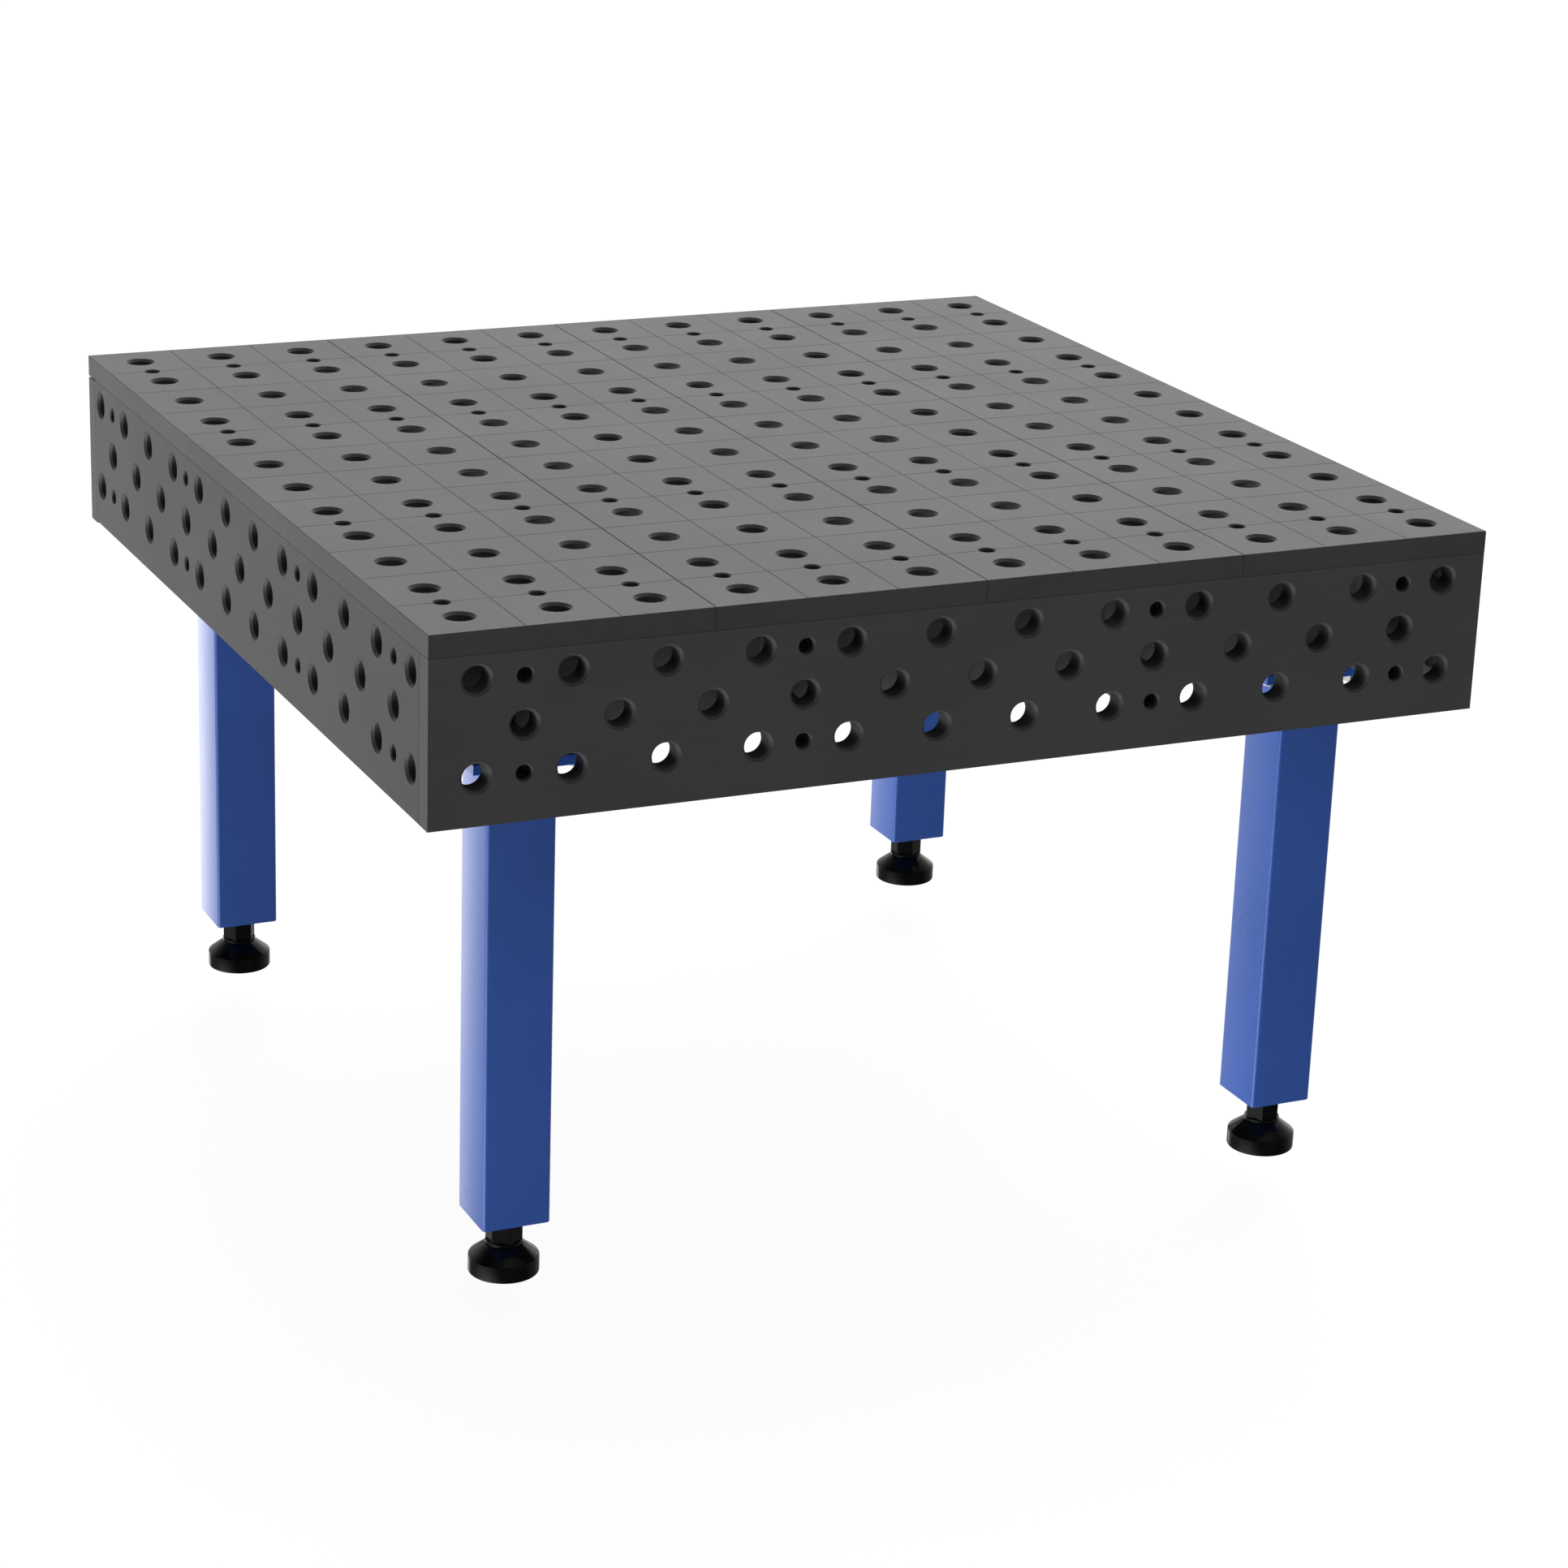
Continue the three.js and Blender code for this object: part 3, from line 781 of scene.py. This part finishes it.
# ---- Levelling feet ----
FOOT_SEGMENTS = 96
THREAD_PITCH = 3 * MM
THREAD_CREST_RADIUS = 12 * MM
THREAD_ROOT_RADIUS = 10.3 * MM
THREAD_MERGE = 0.002 * MM
ROD_TOP_CHAMFER = 2 * MM
HEXAGON_FLATS = 34.5 * MM
BAR_RADIUS = 19.8 * MM
COLLAR_HEIGHT = 4 * MM
COLLAR_LEAD = 0.6 * MM
COLLAR_TOP_LEAD = 0.25 * MM
HEXAGON_TOP_LEAD = 0.2 * MM
FOOT_GAP = 0.3 * MM
PIN_RADIUS = 10 * MM
PIN_CHAMFER = 1.2 * MM
GROOVE_RADIUS = 8.6 * MM
RING_OUTER_RADIUS = 14.5 * MM
RING_GAP_ANGLE = math.radians(28)
RING_STEPS = 60
PAD_RIM_HEIGHT = 18.5 * MM
PAD_TOP_RADIUS = 20.3 * MM
PAD_RECESS_RADIUS = 17 * MM
PAD_RECESS_HEIGHT = 12 * MM
PAD_BORE_RADIUS = 10.6 * MM
PAD_GRIP_RADII = [21 * MM, 26 * MM, 31 * MM]
PAD_GRIP_DEPTH = 1.2 * MM
PAD_GRIP_WIDTH = 2.2 * MM
PAD_GRIP_SLOPE = 0.4 * MM
PAD_SOLE_CHAMFER = 1 * MM
PAD_SOFTENING = 0.7 * MM


def add_thread(bm, bottom_loop, bottom, top, place):
    """A 60 degree thread on top of bottom_loop: four helical rows a turn, their ends clamped flat."""
    segments = len(bottom_loop)
    rise = THREAD_PITCH / 4
    radii = [THREAD_ROOT_RADIUS, THREAD_ROOT_RADIUS, THREAD_CREST_RADIUS, THREAD_CREST_RADIUS]
    row_count = math.ceil((top - bottom) / rise) + 6

    def vertex(row, i):
        height = bottom + (row - 4 + 4 * i / segments) * rise
        clamped = height <= bottom or height >= top
        radius = THREAD_ROOT_RADIUS if clamped else radii[row % 4]
        height = min(max(height, bottom), top)
        angle = 2 * math.pi * i / segments
        return bm.verts.new(place @ Vector((radius * math.cos(angle), radius * math.sin(angle), height)))

    rows = [[vertex(row, i) for i in range(segments)] for row in range(row_count + 4)]
    for row in range(row_count + 3):
        for i in range(segments):
            last = i == segments - 1
            if last and row + 5 >= len(rows):
                continue
            low_next = rows[row + 4][0] if last else rows[row][i + 1]
            high_next = rows[row + 5][0] if last else rows[row + 1][i + 1]
            bm.faces.new((rows[row][i], low_next, high_next, rows[row + 1][i]))


def make_spindle(name, sx, sy):
    """Pin, groove, collar and hexagon turned from one bar, under a threaded rod."""
    node = "foot_spindle_" + name
    low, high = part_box(node)
    centre = Vector(((low.x + high.x) / 2, (low.y + high.y) / 2, 0))
    place = Matrix.Translation(centre)
    pad_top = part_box("foot_pad_" + name)[1].z
    ring_low, ring_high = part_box("foot_ring_" + name)
    collar_low = pad_top + FOOT_GAP
    collar_top = collar_low + COLLAR_HEIGHT
    hexagon_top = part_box("leg_end_plate_" + name)[0].z - FOOT_GAP
    turn = 0 if sx * sy > 0 else math.radians(90)

    def turned_hexagon(angle):
        return min(hexagon_radius(angle, HEXAGON_FLATS, turn), BAR_RADIUS)

    def hexagon(height, shrink=0.0):
        return lambda angle: (turned_hexagon(angle) - shrink, height)

    def chamfered_top(angle):
        radius = turned_hexagon(angle)
        return (radius, hexagon_top - max(HEXAGON_TOP_LEAD, radius - HEXAGON_FLATS / 2))

    rings = [
        round_ring(PIN_RADIUS - PIN_CHAMFER, low.z),
        round_ring(PIN_RADIUS, low.z + PIN_CHAMFER),
        round_ring(PIN_RADIUS, ring_low.z - FOOT_GAP),
        round_ring(GROOVE_RADIUS, ring_low.z - FOOT_GAP),
        round_ring(GROOVE_RADIUS, ring_high.z + FOOT_GAP),
        round_ring(PIN_RADIUS, ring_high.z + FOOT_GAP),
        round_ring(PIN_RADIUS, collar_low),
        round_ring(BAR_RADIUS - COLLAR_LEAD, collar_low),
        round_ring(BAR_RADIUS - COLLAR_LEAD / 3, collar_low + COLLAR_LEAD / 3),
        round_ring(BAR_RADIUS, collar_low + COLLAR_LEAD),
        round_ring(BAR_RADIUS, collar_top - 0.3 * MM),
        round_ring(BAR_RADIUS - COLLAR_TOP_LEAD, collar_top),
        hexagon(collar_top, COLLAR_TOP_LEAD),
        hexagon(collar_top + COLLAR_TOP_LEAD),
        chamfered_top,
        round_ring(HEXAGON_FLATS / 2 - HEXAGON_TOP_LEAD, hexagon_top),
        round_ring(THREAD_ROOT_RADIUS, hexagon_top),
    ]
    bm = bmesh.new()
    loops = [ring(bm, FOOT_SEGMENTS, point_at, place) for point_at in rings]
    for lower, upper in zip(loops, loops[1:]):
        bridge(bm, lower, upper)
    bm.faces.new(loops[0])
    thread_top = high.z - ROD_TOP_CHAMFER
    add_thread(bm, loops[-1], hexagon_top, thread_top, place)
    cap = [ring(bm, FOOT_SEGMENTS, round_ring(THREAD_ROOT_RADIUS, thread_top), place),
           ring(bm, FOOT_SEGMENTS, round_ring(THREAD_ROOT_RADIUS - ROD_TOP_CHAMFER, high.z), place)]
    bridge(bm, cap[0], cap[1])
    bm.faces.new(cap[1])
    bmesh.ops.remove_doubles(bm, verts=bm.verts, dist=THREAD_MERGE)
    bmesh.ops.dissolve_degenerate(bm, edges=bm.edges, dist=THREAD_MERGE)
    to_piece(bm, node + "_turned", [blackened], "spindle_" + name, [node])


def make_foot_ring(name):
    """An open retaining ring round the pin."""
    node = "foot_ring_" + name
    low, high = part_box(node)
    centre = Vector(((low.x + high.x) / 2, (low.y + high.y) / 2, 0))
    inner, outer = GROOVE_RADIUS + FOOT_GAP, RING_OUTER_RADIUS
    section = softened([(inner, low.z), (outer, low.z), (outer, high.z), (inner, high.z)], 0.5 * MM, 2, True)
    start, sweep = RING_GAP_ANGLE / 2, 2 * math.pi - RING_GAP_ANGLE
    bm = bmesh.new()
    loops = []
    for step in range(RING_STEPS + 1):
        angle = start + sweep * step / RING_STEPS
        outwards = Vector((math.cos(angle), math.sin(angle), 0))
        loops.append([bm.verts.new(centre + outwards * p.x + Z * p.y) for p in section])
    for lower, upper in zip(loops, loops[1:]):
        bridge(bm, lower, upper)
    bm.faces.new(loops[0])
    bm.faces.new(loops[-1])
    to_piece(bm, node + "_sprung", [spring], "spindle_" + name, [node])


def make_pad(name):
    """The round pad: rim, cone, bore, and a recessed sole with grip grooves."""
    node = "foot_pad_" + name
    low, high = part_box(node)
    centre = Vector(((low.x + high.x) / 2, (low.y + high.y) / 2, 0))
    radius = (high.x - low.x) / 2
    sole = [(PAD_RECESS_RADIUS, 0)]
    for grip in PAD_GRIP_RADII:
        sole += [
            (grip, 0),
            (grip + PAD_GRIP_SLOPE, PAD_GRIP_DEPTH),
            (grip + PAD_GRIP_WIDTH - PAD_GRIP_SLOPE, PAD_GRIP_DEPTH),
            (grip + PAD_GRIP_WIDTH, 0),
        ]
    outline = sole + [
        (radius - PAD_SOLE_CHAMFER, 0),
        (radius, PAD_SOLE_CHAMFER),
        (radius, PAD_RIM_HEIGHT),
        (PAD_TOP_RADIUS, high.z),
        (PAD_BORE_RADIUS, high.z),
        (PAD_BORE_RADIUS, PAD_RECESS_HEIGHT),
        (PAD_RECESS_RADIUS, PAD_RECESS_HEIGHT),
    ]
    rings = [round_ring(p.x, p.y) for p in softened(outline, PAD_SOFTENING, 3, True)]
    bm = bmesh.new()
    add_rings(bm, rings, FOOT_SEGMENTS, Matrix.Translation(centre), closed=True)
    to_piece(bm, node + "_moulded", [moulded], "pad_" + name, [node])


# ---- Stage and light ----
FLOOR_GLOW = 0.93
FLOOR_SHADE = 0.12
FLOOR_GAP = 0.5 * MM
FLOOR_HALF_SIDE = 60


def make_floor():
    """A pale floor that shows only from above and takes a trace of shadow.

    It lies just under the lowest that the screwed-out feet reach, so it never hides a foot.
    """
    travel = max(joint["range_m"][1] for joint in frame["joints"] if joint["type"] == "slide")
    mesh = bpy.data.meshes.new("floor")
    side = FLOOR_HALF_SIDE
    corners = [(-side, -side, 0), (side, -side, 0), (side, side, 0), (-side, side, 0)]
    mesh.from_pydata(corners, [], [(0, 1, 2, 3)])
    floor = bpy.data.objects.new("floor", mesh)
    floor.location.z = cad_low[2] - travel - FLOOR_GAP
    bpy.context.scene.collection.objects.link(floor)
    material = bpy.data.materials.new("pale_floor")
    material.use_nodes = True
    tree = material.node_tree
    tree.nodes.clear()
    output = tree.nodes.new("ShaderNodeOutputMaterial")
    glow = tree.nodes.new("ShaderNodeEmission")
    glow.inputs["Strength"].default_value = FLOOR_GLOW
    matt = tree.nodes.new("ShaderNodeBsdfDiffuse")
    matt.inputs["Color"].default_value = (FLOOR_SHADE,) * 3 + (1,)
    both = tree.nodes.new("ShaderNodeAddShader")
    tree.links.new(glow.outputs[0], both.inputs[0])
    tree.links.new(matt.outputs[0], both.inputs[1])
    clear = tree.nodes.new("ShaderNodeBsdfTransparent")
    side_test = tree.nodes.new("ShaderNodeNewGeometry")
    one_sided = tree.nodes.new("ShaderNodeMixShader")
    tree.links.new(side_test.outputs["Backfacing"], one_sided.inputs["Fac"])
    tree.links.new(both.outputs[0], one_sided.inputs[1])
    tree.links.new(clear.outputs[0], one_sided.inputs[2])
    tree.links.new(one_sided.outputs[0], output.inputs["Surface"])
    mesh.materials.append(material)
    floor.visible_diffuse = False
    floor.visible_glossy = False
    floor.visible_shadow = False


# Studio lights all round, each as (degrees from +Y towards +X, degrees up, strength, how tightly it gathers)
AMBIENT = 0.02
STUDIO_LIGHTS = {
    "high_behind_right": (37, 54, 4.5, 10),
    "steep_left": (-100, -50, 8.4, 10),
    "behind_left": (-35, 11, 2.1, 10),
    "behind_low": (-8, -17, 3.2, 60),
    "behind_right": (50, 5, 1.5, 10),
    "behind_up": (20, 22, 2.1, 10),
    "right": (95, 10, 1.5, 8),
    "high_front": (175, 59, 1.1, 10),
    "front": (165, -10, 0.25, 8),
    "below": (0, -90, 0.5, 3),
}


def make_world():
    """White to the camera, and to the object a soft studio that brightens towards each light."""
    world = bpy.data.worlds.new("studio")
    bpy.context.scene.world = world
    world.use_nodes = True
    tree = world.node_tree
    tree.nodes.clear()
    place = tree.nodes.new("ShaderNodeTexCoord")
    total = AMBIENT
    for azimuth, elevation, strength, power in STUDIO_LIGHTS.values():
        azimuth, elevation = math.radians(azimuth), math.radians(elevation)
        level = X * math.sin(azimuth) + Y * math.cos(azimuth)
        toward = tree.nodes.new("ShaderNodeVectorMath")
        toward.operation = "DOT_PRODUCT"
        toward.inputs[1].default_value = level * math.cos(elevation) + Z * math.sin(elevation)
        tree.links.new(place.outputs["Generated"], toward.inputs[0])
        positive = combine(tree, "MAXIMUM", toward.outputs["Value"], 0.0)
        lobe = combine(tree, "MULTIPLY", combine(tree, "POWER", positive, power), strength)
        total = combine(tree, "ADD", total, lobe)
    studio = tree.nodes.new("ShaderNodeBackground")
    tree.links.new(total, studio.inputs["Strength"])
    white = tree.nodes.new("ShaderNodeBackground")
    white.inputs["Color"].default_value = (1, 1, 1, 1)
    seen = tree.nodes.new("ShaderNodeLightPath")
    mix = tree.nodes.new("ShaderNodeMixShader")
    output = tree.nodes.new("ShaderNodeOutputWorld")
    tree.links.new(seen.outputs["Is Camera Ray"], mix.inputs["Fac"])
    tree.links.new(studio.outputs[0], mix.inputs[1])
    tree.links.new(white.outputs[0], mix.inputs[2])
    tree.links.new(mix.outputs[0], output.inputs["Surface"])


bpy.context.scene.view_settings.view_transform = "Standard"

make_camera()
make_floor()
make_world()

top_steel = ground_steel("ground_top", 0.072, 0.102, along=1)
side_steel_x = ground_steel("ground_side_x", 0.069, 0.098, along=0)
# Painted shade: the left and right plates use a darker copy of the same ground steel, so those faces read
# darker than the front, back and top
shaded_side_steel_y = ground_steel("ground_side_y_painted_shade", 0.051, 0.073, along=1)
edge_steel = ground_steel("machined_edge", 0.060, 0.086, along=2)
engraving = engraved_steel()
screw_steel = black_finish("screw_steel", 0.012, 0.022, (0.36, 0.5), metallic=0.3, peel_depth=0.02 * MM)
rolled_steel = scaled_steel()
edge_cut_steel = cut_steel()
paint = blue_paint()
zinc = plated_steel("zinc_plate", (0.46, 0.46, 0.44), (0.60, 0.60, 0.58), (0.28, 0.42))
spring = plated_steel("spring_steel", (0.16, 0.16, 0.17), (0.26, 0.26, 0.27), (0.25, 0.38))
blackened = black_finish("blackened_steel", 0.004, 0.007, (0.16, 0.26), metallic=0, peel_depth=0.02 * MM)
moulded = black_finish("moulded_black", 0.003, 0.005, (0.10, 0.18), metallic=0, peel_depth=0.015 * MM)

make_top_plates()
make_side_plates()
make_ribs()
for corner, (side_x, side_y) in CORNERS.items():
    make_leg_tube(corner)
    make_leg_flange(corner, side_x, side_y)
    make_leg_end_plate(corner)
    for number in range(1, 4):
        make_flange_bolt(f"leg_bolt_{corner}_{number}")
    make_spindle(corner, side_x, side_y)
    make_foot_ring(corner)
    make_pad(corner)
